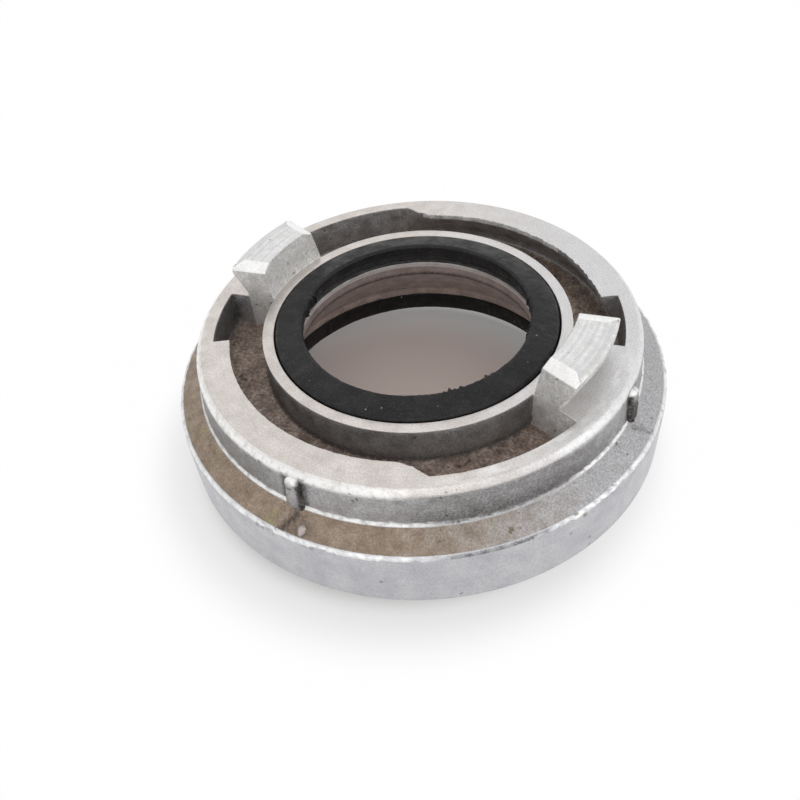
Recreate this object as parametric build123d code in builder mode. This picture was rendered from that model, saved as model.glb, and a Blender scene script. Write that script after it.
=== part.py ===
"""Fire hose reducer: one aluminium casting with a two-lug quick coupling face on each end.

The small face (80 mm hose) points up, the large face (100 mm hose) points down. The origin is
the middle of the bottom of the whole part, on the axis of the bore. The two lugs of each face
stand across the X axis. Lengths are in millimetres.
"""
import math
import os

from build123d import *

# Heights along the bore.
LUG_HEIGHT = 10.5
FACE_TO_FACE = 34.0
CHANNEL_DEPTH = 11.0
LARGE_FACE = LUG_HEIGHT
SMALL_FACE = LARGE_FACE + FACE_TO_FACE

# Coupling faces, small end then large end, each built outward from its collar.
SMALL_COLLAR_R = 44.5
COLLAR_GROWTH = 10.3
LARGE_COLLAR_R = SMALL_COLLAR_R + COLLAR_GROWTH
SMALL_CHANNEL_WIDTH = 14.1
LARGE_CHANNEL_WIDTH = 13.2
SMALL_CHANNEL_R = SMALL_COLLAR_R + SMALL_CHANNEL_WIDTH
LARGE_CHANNEL_R = LARGE_COLLAR_R + LARGE_CHANNEL_WIDTH
COLLAR_WALL = 3.3
COLLAR_EDGE = 0.4
SEAT_EDGE = 0.3
RIM_OVERHANG = 4.7
RIM_LAND = 1.6
FLOOR_WALL = 2.4
FLOOR_FILLET = 1.5
FLOOR_INNER_FILLET = 1.0
SMALL_SEAT_DEPTH = 6.0
LARGE_SEAT_DEPTH = 6.5
UNDERCUT_DEPTH = CHANNEL_DEPTH - FLOOR_WALL

# Outside of the casting, set off from the channels inside it.
RING_WALL = 5.0
RING_TOP_INSET = 1.4
RING_EDGE = 1.5
RING_FLARE = 0.8
RING_FOOT_DROP = 11.2
RING_FOOT_FILLET = 1.5
SHOULDER_DROP = 4.5
SKIRT_WALL = 4.0
SKIRT_EDGE = 0.6
SKIRT_FOOT_EDGE = 0.8
RING_SIDE_R = SMALL_CHANNEL_R + RING_WALL
RING_TOP_R = RING_SIDE_R - RING_TOP_INSET
RING_FOOT_R = RING_SIDE_R + RING_FLARE
SKIRT_R = LARGE_CHANNEL_R + SKIRT_WALL
SKIRT_TOP_DROP = RING_FOOT_DROP + SHOULDER_DROP

# Waterway: throat behind the small seal, then a cone opening to the large seal.
SMALL_LEDGE = 6.0
LARGE_LEDGE = 5.5
THROAT_LENGTH = 4.8
THROAT_STEP = 1.4
THROAT_STEP_DROP = 0.6
OUTLET_LENGTH = 3.0
small_seat_r = SMALL_COLLAR_R - COLLAR_WALL
large_seat_r = LARGE_COLLAR_R - COLLAR_WALL
THROAT_R = small_seat_r - SMALL_LEDGE
OUTLET_R = large_seat_r - LARGE_LEDGE

# Lugs, measured from the outer wall of the collar and from the face.
LUG_ANGLE = 31.5
LUG_LEAN = 1.2
HOOK_REACH = 11.9
LARGE_HOOK_REACH = 11.1
HOOK_BEVEL_RUN = 2.6
HOOK_BEVEL_DROP = 0.9
HOOK_LIP_DEPTH = 2.9
HOOK_SLOPE_RUN = 3.4
STEM_HEIGHT = 1.4
ENTRY_RUN = 3.2
ENTRY_DROP = 1.5
ENTRY_LEAN = 1.4
TAIL_RUN = 3.8
TAIL_DROP = 1.1

# Openings in the rim, as angles past the ends of a lug.
WINDOW_ANGLE = 39.75
WINDOW_SLANT = 4.0
POCKET_ANGLE = 21.45
WINDOW_END = LUG_ANGLE / 2 + WINDOW_ANGLE
POCKET_END = LUG_ANGLE / 2 + POCKET_ANGLE
OPENING_CORNER = 0.8

# Wrench ribs on the side of the ring.
RIB_COUNT = 4
RIB_START = 3.0
RIB_PROUD = 1.8
RIB_WIDTH = 6.0
RIB_TOP_DROP = 2.2
RIB_FOOT_DROP = 13.6
RIB_DRAFT = 0.7
RIB_CORNER = 1.3
RIB_R = RING_FOOT_R + RIB_PROUD

# Seals.
SEAL_BODY = 4.4
SEAL_LIP_REACH = 4.0
LARGE_SEAL_WIDTH = 4.0
SMALL_SEAL_WALL_R = small_seat_r - SEAL_BODY
SMALL_SEAL_INNER_R = SMALL_SEAL_WALL_R - SEAL_LIP_REACH
LARGE_SEAL_INNER_R = large_seat_r - LARGE_SEAL_WIDTH
SMALL_SEAL_RISE = 2.0
SEAL_LIP_DEPTH = 1.3
SEAL_LIP_SLANT = 0.9
SEAL_FLAT = 0.8
LARGE_SEAL_RISE = 0.6
LARGE_SEAL_ROUND = 1.5
SEAL_RELIEF = 0.45
SEAL_GRIP_TOP = 1.6
SEAL_SHOULDER = 0.6

OVERLAP = 1.0


def polar(radius, angle):
    """Point at a radius and an angle in degrees."""
    return (radius * math.cos(math.radians(angle)), radius * math.sin(math.radians(angle)))


def radial_plane(angle):
    """Plane holding the bore axis, its x pointing outward at the angle, its y up."""
    out_x, out_y = polar(1.0, angle)
    return Plane(origin=(0, 0, 0), x_dir=(out_x, out_y, 0), z_dir=(out_y, -out_x, 0))


def tangent_plane(angle, height):
    """Plane on the bore axis at a height, its normal pointing outward at the angle."""
    out_x, out_y = polar(1.0, angle)
    return Plane(origin=(0, 0, height), x_dir=(-out_y, out_x, 0), z_dir=(out_x, out_y, 0))


def line_at(start, end, radius):
    """Point on the line through two points, at a distance from the axis."""
    (ax, ay), (bx, by) = start, end
    dx, dy = bx - ax, by - ay
    a = dx * dx + dy * dy
    b = 2 * (ax * dx + ay * dy)
    c = ax * ax + ay * ay - radius * radius
    t = (-b + math.sqrt(b * b - 4 * a * c)) / (2 * a)
    return (ax + t * dx, ay + t * dy)


# Each end: face height, direction it points, collar, channel, hook reach, seat depth.
ENDS = (
    (SMALL_FACE, 1, SMALL_COLLAR_R, SMALL_CHANNEL_R, HOOK_REACH),
    (LARGE_FACE, -1, LARGE_COLLAR_R, LARGE_CHANNEL_R, LARGE_HOOK_REACH),
)

small_rim_r = SMALL_CHANNEL_R - RIM_OVERHANG
large_rim_r = LARGE_CHANNEL_R - RIM_OVERHANG
throat_end = SMALL_FACE - SMALL_SEAT_DEPTH - THROAT_LENGTH
outlet_start = LARGE_FACE + LARGE_SEAT_DEPTH + OUTLET_LENGTH

with BuildPart() as reducer_body:
    # The casting's section, turned about the bore: both undercut channels and the waterway.
    with BuildSketch(Plane.XZ) as section:
        with BuildLine():
            Polyline(
                (small_seat_r + SEAT_EDGE, SMALL_FACE),
                (SMALL_COLLAR_R - COLLAR_EDGE, SMALL_FACE),
                (SMALL_COLLAR_R, SMALL_FACE - COLLAR_EDGE),
                (SMALL_COLLAR_R, SMALL_FACE - CHANNEL_DEPTH),
                (SMALL_CHANNEL_R, SMALL_FACE - CHANNEL_DEPTH),
                (SMALL_CHANNEL_R, SMALL_FACE - UNDERCUT_DEPTH),
                (small_rim_r, SMALL_FACE - RIM_LAND),
                (small_rim_r, SMALL_FACE),
                (RING_TOP_R, SMALL_FACE),
                (RING_SIDE_R, SMALL_FACE - RING_EDGE),
                (RING_FOOT_R, SMALL_FACE - RING_FOOT_DROP),
                (SKIRT_R - SKIRT_EDGE, SMALL_FACE - SKIRT_TOP_DROP + SKIRT_EDGE / 2),
                (SKIRT_R, SMALL_FACE - SKIRT_TOP_DROP - SKIRT_EDGE / 2),
                (SKIRT_R, LARGE_FACE + SKIRT_FOOT_EDGE),
                (SKIRT_R - SKIRT_FOOT_EDGE, LARGE_FACE),
                (large_rim_r, LARGE_FACE),
                (large_rim_r, LARGE_FACE + RIM_LAND),
                (LARGE_CHANNEL_R, LARGE_FACE + UNDERCUT_DEPTH),
                (LARGE_CHANNEL_R, LARGE_FACE + CHANNEL_DEPTH),
                (LARGE_COLLAR_R, LARGE_FACE + CHANNEL_DEPTH),
                (LARGE_COLLAR_R, LARGE_FACE + COLLAR_EDGE),
                (LARGE_COLLAR_R - COLLAR_EDGE, LARGE_FACE),
                (large_seat_r + SEAT_EDGE, LARGE_FACE),
                (large_seat_r, LARGE_FACE + SEAT_EDGE),
                (large_seat_r, LARGE_FACE + LARGE_SEAT_DEPTH),
                (OUTLET_R, LARGE_FACE + LARGE_SEAT_DEPTH),
                (OUTLET_R, outlet_start),
                (THROAT_R + THROAT_STEP, throat_end - THROAT_STEP_DROP),
                (THROAT_R, throat_end),
                (THROAT_R, SMALL_FACE - SMALL_SEAT_DEPTH),
                (small_seat_r, SMALL_FACE - SMALL_SEAT_DEPTH),
                (small_seat_r, SMALL_FACE - SEAT_EDGE),
                close=True,
            )
        make_face()
        for radius, height, size in (
            (SMALL_CHANNEL_R, SMALL_FACE - CHANNEL_DEPTH, FLOOR_FILLET),
            (LARGE_CHANNEL_R, LARGE_FACE + CHANNEL_DEPTH, FLOOR_FILLET),
            (SMALL_COLLAR_R, SMALL_FACE - CHANNEL_DEPTH, FLOOR_INNER_FILLET),
            (LARGE_COLLAR_R, LARGE_FACE + CHANNEL_DEPTH, FLOOR_INNER_FILLET),
            (RING_FOOT_R, SMALL_FACE - RING_FOOT_DROP, RING_FOOT_FILLET),
        ):
            corner = section.vertices().sort_by_distance((radius, height, 0))[0]
            fillet(corner, radius=size)
    revolve(axis=Axis.Z)

    for face, way, collar_r, channel_r, reach in ENDS:
        # Windows ahead of the lugs and pockets behind them, cut through the overhanging rim.
        for side in (0, 180):
            rim_r = channel_r - RIM_OVERHANG
            near = polar(rim_r, side - way * (WINDOW_END + WINDOW_SLANT))
            far = polar(channel_r, side - way * WINDOW_END)
            half = LUG_ANGLE / 2
            window = [
                line_at(near, far, rim_r - OVERLAP),
                line_at(near, far, channel_r + OVERLAP),
                polar(channel_r * 1.3, side - way * (half + WINDOW_END) / 2),
                polar(channel_r + OVERLAP, side - way * half),
                polar(rim_r - OVERLAP, side - way * half),
            ]
            pocket = [
                polar(rim_r - OVERLAP, side + way * half),
                polar(channel_r + OVERLAP, side + way * half),
                polar(channel_r * 1.2, side + way * (half + POCKET_END) / 2),
                polar(channel_r + OVERLAP, side + way * POCKET_END),
                polar(rim_r - OVERLAP, side + way * POCKET_END),
            ]
            for outline in (window, pocket):
                with BuildSketch(Plane.XY.offset(face)) as opening:
                    with BuildLine():
                        Polyline(*outline, close=True)
                    make_face()
                    Circle(channel_r, mode=Mode.INTERSECT)
                    outer = opening.vertices().filter_by(
                        lambda v: math.hypot(v.X, v.Y) > channel_r - 0.01)
                    fillet(outer, radius=OPENING_CORNER)
                extrude(amount=-way * UNDERCUT_DEPTH, mode=Mode.SUBTRACT)

        # Hooked lugs: each fills the channel, stands out of the face and reaches outward.
        for side in (0, 180):
            with BuildSketch(radial_plane(side - LUG_ANGLE / 2)):
                with BuildLine():
                    Polyline(
                        (collar_r - OVERLAP, face - way * (CHANNEL_DEPTH + OVERLAP)),
                        (channel_r + OVERLAP, face - way * (CHANNEL_DEPTH + OVERLAP)),
                        (channel_r + OVERLAP, face),
                        (collar_r + reach - HOOK_SLOPE_RUN, face),
                        (collar_r + reach - HOOK_SLOPE_RUN, face + way * STEM_HEIGHT),
                        (collar_r + reach, face + way * (LUG_HEIGHT - HOOK_LIP_DEPTH)),
                        (collar_r + reach, face + way * (LUG_HEIGHT - HOOK_BEVEL_DROP)),
                        (collar_r + reach - HOOK_BEVEL_RUN, face + way * LUG_HEIGHT),
                        (collar_r + LUG_LEAN, face + way * LUG_HEIGHT),
                        (collar_r, face),
                        (collar_r - OVERLAP, face),
                        close=True,
                    )
                make_face()
            revolve(axis=Axis.Z, revolution_arc=LUG_ANGLE)

            # Leaning leading end with a steep lead-in, long shallow one at the tail.
            with BuildSketch(tangent_plane(side - way * LUG_ANGLE / 2, face)):
                with BuildLine():
                    Polyline(
                        (-way * OVERLAP, 0),
                        (0, 0),
                        (way * ENTRY_LEAN, way * (LUG_HEIGHT - ENTRY_DROP)),
                        (way * (ENTRY_LEAN + ENTRY_RUN), way * LUG_HEIGHT),
                        (way * (ENTRY_LEAN + ENTRY_RUN * 2), way * (LUG_HEIGHT + ENTRY_DROP)),
                        (-way * OVERLAP, way * (LUG_HEIGHT + ENTRY_DROP)),
                        close=True,
                    )
                make_face()
            extrude(amount=channel_r + OVERLAP, mode=Mode.SUBTRACT)
            with BuildSketch(tangent_plane(side + way * LUG_ANGLE / 2, face)):
                with BuildLine():
                    Polyline(
                        (way * OVERLAP, way * (LUG_HEIGHT - TAIL_DROP)),
                        (0, way * (LUG_HEIGHT - TAIL_DROP)),
                        (-way * TAIL_RUN, way * LUG_HEIGHT),
                        (-way * TAIL_RUN * 2, way * (LUG_HEIGHT + TAIL_DROP)),
                        (way * OVERLAP, way * (LUG_HEIGHT + TAIL_DROP)),
                        close=True,
                    )
                make_face()
            extrude(amount=channel_r + OVERLAP, mode=Mode.SUBTRACT)

    # Wrench ribs, drafted toward the top and running out on the conical shoulder.
    for number in range(RIB_COUNT):
        angle = RIB_START + number * 360 / RIB_COUNT
        for drop, inset in ((RIB_FOOT_DROP, 0), (RIB_TOP_DROP, RIB_DRAFT)):
            with BuildSketch(Plane.XY.offset(SMALL_FACE - drop)):
                with Locations(Rotation(0, 0, angle)):
                    with Locations((RIB_R - RIB_WIDTH / 2 - inset, 0)):
                        RectangleRounded(RIB_WIDTH, RIB_WIDTH - 2 * inset, RIB_CORNER)
        loft()

reducer_body.part.label = "reducer_body"

with BuildPart() as small_end_gasket:
    # Gripped body on the seat, and a lip reaching into the waterway and standing proud.
    with BuildSketch(Plane.XZ):
        with BuildLine():
            seat = SMALL_FACE - SMALL_SEAT_DEPTH
            Polyline(
                (SMALL_SEAL_WALL_R, seat),
                (small_seat_r, seat),
                (small_seat_r, SMALL_FACE - SEAL_GRIP_TOP),
                (small_seat_r - SEAL_RELIEF, SMALL_FACE - SEAL_GRIP_TOP + SEAL_SHOULDER),
                (small_seat_r - SEAL_RELIEF, SMALL_FACE),
                (small_seat_r - SEAL_RELIEF - SEAL_SHOULDER, SMALL_FACE + SEAL_SHOULDER),
                (SMALL_SEAL_INNER_R + SEAL_FLAT, SMALL_FACE + SMALL_SEAL_RISE),
                (SMALL_SEAL_INNER_R, SMALL_FACE + SMALL_SEAL_RISE - SEAL_SHOULDER),
                (SMALL_SEAL_INNER_R, SMALL_FACE - SEAL_LIP_DEPTH),
                (SMALL_SEAL_WALL_R, SMALL_FACE - SEAL_LIP_DEPTH - SEAL_LIP_SLANT),
                close=True,
            )
        make_face()
    revolve(axis=Axis.Z)

small_end_gasket.part.label = "small_end_gasket"

with BuildPart() as large_end_gasket:
    # Plain ring in the large seat, rounded toward the waterway.
    with BuildSketch(Plane.XZ) as seal:
        with BuildLine():
            seat = LARGE_FACE + LARGE_SEAT_DEPTH
            Polyline(
                (LARGE_SEAL_INNER_R, seat),
                (large_seat_r, seat),
                (large_seat_r, LARGE_FACE + SEAL_GRIP_TOP),
                (large_seat_r - SEAL_RELIEF, LARGE_FACE + SEAL_GRIP_TOP - SEAL_SHOULDER),
                (large_seat_r - SEAL_RELIEF, LARGE_FACE),
                (large_seat_r - SEAL_RELIEF - SEAL_SHOULDER, LARGE_FACE - LARGE_SEAL_RISE),
                (LARGE_SEAL_INNER_R, LARGE_FACE - LARGE_SEAL_RISE),
                close=True,
            )
        make_face()
        corner = seal.vertices().sort_by_distance(
            (LARGE_SEAL_INNER_R, LARGE_FACE - LARGE_SEAL_RISE, 0))[0]
        fillet(corner, radius=LARGE_SEAL_ROUND)
    revolve(axis=Axis.Z)

large_end_gasket.part.label = "large_end_gasket"

os.makedirs("parts", exist_ok=True)
export_step(reducer_body.part, "parts/reducer_body.step")
export_step(small_end_gasket.part, "parts/small_end_gasket.step")
export_step(large_end_gasket.part, "parts/large_end_gasket.step")
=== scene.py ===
"""Fire hose reducer: the visual model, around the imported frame.

One worn aluminium casting with a hooked-lug coupling face on each end, and a black rubber seal in
each. Shapes are built in millimetres and written in metres, in the frame's own axes: +Z along the
bore, +X through the middle of the lugs.
"""

import logging
import math
from collections.abc import Sequence
from dataclasses import dataclass, field
from enum import Enum

import bmesh
import bpy
from mathutils import Matrix, Vector, noise


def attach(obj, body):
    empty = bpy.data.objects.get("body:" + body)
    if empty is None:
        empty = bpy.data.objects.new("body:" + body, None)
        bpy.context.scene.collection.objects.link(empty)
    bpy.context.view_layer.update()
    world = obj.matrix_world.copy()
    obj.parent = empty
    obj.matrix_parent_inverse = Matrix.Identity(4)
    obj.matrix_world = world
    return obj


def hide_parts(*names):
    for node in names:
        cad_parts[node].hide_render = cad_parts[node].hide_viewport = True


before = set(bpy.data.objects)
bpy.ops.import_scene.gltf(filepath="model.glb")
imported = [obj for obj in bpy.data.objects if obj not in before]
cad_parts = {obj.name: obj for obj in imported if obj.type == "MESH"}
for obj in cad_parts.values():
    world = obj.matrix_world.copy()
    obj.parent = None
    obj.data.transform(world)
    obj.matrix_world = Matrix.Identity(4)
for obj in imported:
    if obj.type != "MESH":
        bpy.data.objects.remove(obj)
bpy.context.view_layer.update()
LOG = logging.getLogger("fire_hose_reducer")

MM = 0.001
STEP_DEG = 0.75
LUG_HALF_DEG = 15.75
LUG_TOP = 10.5
RIM_START = 37.5
RIM_STOP = 124.5
SMOOTH_BELOW_DEG = 38.0

Point = tuple[float, float]
Pair = tuple[float, float]
Triple = tuple[float, float, float]
Colour = tuple[float, float, float]
Socket = bpy.types.NodeSocket
Material = bpy.types.Material
BMesh = bmesh.types.BMesh

# Near-black that the mesh's darkening layer lays on: mostly painted shade in hollows and corners, with some
# dirt.
SHADE_AND_DIRT_COLOUR = (0.030, 0.024, 0.021)
# Near-white that the mesh's bright layer lays on: rubbed metal, and painted highlights on the chamfer and
# rib tops.
RUBBED_AND_HIGHLIGHT_COLOUR = (0.97, 0.97, 0.96)
STAIN_OFFSET = (31.0, 17.0, 5.0)
# Direction, in X and Y, towards the side painted as lit.
LIT_SIDE_DIRECTION = (0.83, 0.56)


class Finish(Enum):
    """Surfaces of the casting; the value is the material's place on a piece."""

    TURNED = 0
    BRIGHT = 1
    CAST = 2
    EARTHY = 3
    SKIRT = 4
    BORE = 5
    SHOULDER = 6
    HOOK = 7
    LEDGE = 8


class Sector(Enum):
    """What the coupling face is at an angle, from one lug to the next."""

    FILLED = "filled by a lug"
    POCKET = "open behind a lug"
    RIM = "under the overhanging rim"
    WINDOW = "open ahead of a lug"


SECTOR_ENDS = (
    (Sector.FILLED, -LUG_HALF_DEG, LUG_HALF_DEG),
    (Sector.POCKET, LUG_HALF_DEG, RIM_START),
    (Sector.RIM, RIM_START, RIM_STOP),
    (Sector.WINDOW, RIM_STOP, 180.0 - LUG_HALF_DEG),
)


# Shaping helpers


def lift(points: Sequence[Point]) -> list[Vector]:
    """Section points as vectors in the plane above +X."""
    return [Vector((r, 0.0, z)) for r, z in points]


def arc(centre: Point, radius: float, start: float, stop: float, segments: int) -> list[Point]:
    """Points along an arc of the section.

    Args:
        centre: middle of the arc, radius and height.
        radius: its radius.
        start: first angle in degrees.
        stop: last angle in degrees.
        segments: number of chords.

    Returns:
        The points, both ends among them.
    """
    points = []
    for step in range(segments + 1):
        turn = math.radians(start + (stop - start) * step / segments)
        points.append((centre[0] + radius * math.cos(turn), centre[1] + radius * math.sin(turn)))
    return points


def shared(start: Point, stop: Point, segments: int) -> list[Point]:
    """Evenly spaced points from just after one point to another.

    Args:
        start: the first point, left out.
        stop: the last point, put in.
        segments: number of steps.

    Returns:
        The points.
    """
    return [
        (start[0] + (stop[0] - start[0]) * k / segments, start[1] + (stop[1] - start[1]) * k / segments)
        for k in range(1, segments + 1)
    ]


def spaced(points: Sequence[Point], pitch: float) -> list[Point]:
    """The same path with no chord much longer than the pitch.

    Args:
        points: the path.
        pitch: length that the chords come near to.

    Returns:
        The path with the points that this takes.
    """
    path = [points[0]]
    for start, stop in zip(points, points[1:]):
        length = math.dist(start, stop)
        path += shared(start, stop, max(1, round(length / pitch)))
    return path


def wire(bm: BMesh, points: Sequence[Point], degrees: float, closed: bool = False) -> list:
    """A row of vertices and edges standing at an angle about the bore.

    Args:
        bm: mesh that receives it.
        points: section points.
        degrees: angle of the row.
        closed: join the last point to the first.

    Returns:
        The new vertices and edges, as spin takes them.
    """
    turn = Matrix.Rotation(math.radians(degrees), 3, "Z")
    verts = [bm.verts.new(turn @ point) for point in lift(points)]
    edges = [bm.edges.new(pair) for pair in zip(verts, verts[1:])]
    if closed:
        edges.append(bm.edges.new((verts[-1], verts[0])))
    return verts + edges


def spin(bm: BMesh, row: list, degrees: float, steps: int, merge: bool = False) -> None:
    """Turns a row of vertices and edges about the bore, leaving a skin.

    Args:
        bm: the mesh.
        row: the vertices and edges.
        degrees: how far it turns, with its sign.
        steps: number of steps that it takes.
        merge: join the last row to the first.
    """
    bmesh.ops.spin(
        bm, geom=row, cent=(0, 0, 0), axis=(0, 0, 1), dvec=(0, 0, 0), angle=math.radians(degrees),
        steps=steps, use_merge=merge)


def swept(points: Sequence[Point], start: float, degrees: float) -> BMesh:
    """A skin made by turning a section about the bore.

    Args:
        points: the section.
        start: angle that it starts from.
        degrees: how far it turns, with its sign.

    Returns:
        The skin, in a mesh of its own.
    """
    bm = bmesh.new()
    spin(bm, wire(bm, points, start), degrees, round(abs(degrees) / STEP_DEG))
    return bm


def rotate(bm: BMesh, verts: Sequence[bmesh.types.BMVert], degrees: float, axis: str) -> None:
    """Turns some vertices of a mesh about an axis through the origin."""
    bmesh.ops.rotate(bm, cent=(0, 0, 0), matrix=Matrix.Rotation(math.radians(degrees), 3, axis), verts=verts)


def repeat(bm: BMesh, degrees: float) -> None:
    """Adds a copy of everything in the mesh, turned about the bore.

    Args:
        bm: the mesh.
        degrees: how far the copy is turned.
    """
    copy = bmesh.ops.duplicate(bm, geom=list(bm.verts) + list(bm.edges) + list(bm.faces))
    verts = [element for element in copy["geom"] if isinstance(element, bmesh.types.BMVert)]
    rotate(bm, verts, degrees, "Z")


def meshed(bm: BMesh, name: str) -> bpy.types.Mesh:
    """Turns a working mesh into mesh data.

    Args:
        bm: the working mesh; it is freed.
        name: name of the data.

    Returns:
        The data.
    """
    mesh = bpy.data.meshes.new(name)
    bm.to_mesh(mesh)
    bm.free()
    return mesh


def placed(name: str, data: bpy.types.ID) -> bpy.types.Object:
    """Puts an object in the scene.

    Args:
        name: the object's name.
        data: what it shows.

    Returns:
        The object.
    """
    thing = bpy.data.objects.new(name, data)
    bpy.context.scene.collection.objects.link(thing)
    return thing


def join(bm: BMesh, part: BMesh) -> None:
    """Moves a part's geometry into a mesh.

    Args:
        bm: mesh that receives it.
        part: the part; it is freed.
    """
    carrier = meshed(part, "carrier")
    bm.from_mesh(carrier)
    bpy.data.meshes.remove(carrier)


def close_holes(bm: BMesh) -> None:
    """Fills every open boundary."""
    rims = [edge for edge in bm.edges if edge.is_boundary]
    bmesh.ops.holes_fill(bm, edges=rims, sides=0)


def soften(bm: BMesh, width: float, segments: int, sharper_than: float = 33.0) -> None:
    """Rounds the edges sharper than an angle.

    Args:
        bm: the mesh.
        width: bevel width.
        segments: rounds across it.
        sharper_than: least angle between faces, in degrees.
    """
    least = math.radians(sharper_than)
    sharp = [edge for edge in bm.edges if len(edge.link_faces) == 2 and edge.calc_face_angle(0.0) > least]
    bmesh.ops.bevel(
        bm, geom=sharp, offset=width, offset_type="OFFSET", affect="EDGES", segments=segments,
        profile=0.5, material=-1, clamp_overlap=False, loop_slide=True)


def radius_of(point: Vector) -> float:
    """Distance from the bore's axis."""
    return math.hypot(point.x, point.y)


def bearing_of(point: Vector) -> float:
    """Angle about the bore in degrees."""
    return math.degrees(math.atan2(point.y, point.x))


def turned_by(point: Vector, degrees: float) -> Vector:
    """The point turned about the bore."""
    return Matrix.Rotation(math.radians(degrees), 3, "Z") @ point


def ramp(value: float, low: float, high: float) -> float:
    """A smooth step from 0 at low to 1 at high."""
    share = min(1.0, max(0.0, (value - low) / (high - low)))
    return share * share * (3.0 - 2.0 * share)


def fade(value: float, low: float, high: float) -> float:
    """A smooth step from 1 at low to 0 at high."""
    return 1.0 - ramp(value, low, high)


def near_angle(degrees: float, target: float) -> float:
    """Least distance between two angles in degrees."""
    return abs((degrees - target + 180.0) % 360.0 - 180.0)


def near_lug(degrees: float, offset: float) -> float:
    """Least distance from an angle to the same place beside either lug."""
    return min(near_angle(degrees, offset), near_angle(degrees, 180.0 + offset))


def over(value: float, first: float, last: float, margin: float) -> float:
    """1 from the first value to the last, fading to 0 on either side."""
    return ramp(value, first - margin, first) * fade(value, last, last + margin)


def mark_layers(bm: BMesh) -> tuple[bmesh.types.BMLayerItem, bmesh.types.BMLayerItem]:
    """Adds the finishes' two layers: painted shade with some dirt, and rubbed metal with painted highlights.
    """
    layers = bm.verts.layers.float
    return layers.new("shade_and_dirt"), layers.new("worn")


def publish(bm: BMesh, name: str, materials: Sequence[Material],
            nodes: Sequence[str]) -> bpy.types.Object:
    """Makes a finished mesh a piece of the object.

    Args:
        bm: mesh in millimetres; it is freed.
        name: the piece's name.
        materials: its materials, in the order of its faces' numbers.
        nodes: CAD nodes that it stands for.

    Returns:
        The new object, riding on the body.
    """
    bmesh.ops.scale(bm, vec=(MM, MM, MM), verts=bm.verts)
    mesh = meshed(bm, name)
    for material in materials:
        mesh.materials.append(material)
    mesh.polygons.foreach_set("use_smooth", [True] * len(mesh.polygons))
    mesh.set_sharp_from_angle(angle=math.radians(SMOOTH_BELOW_DEG))
    piece = placed(name, mesh)
    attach(piece, "root")
    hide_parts(*nodes)
    LOG.info("%s: %d faces", name, len(mesh.polygons))
    return piece


# Finishes


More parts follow.
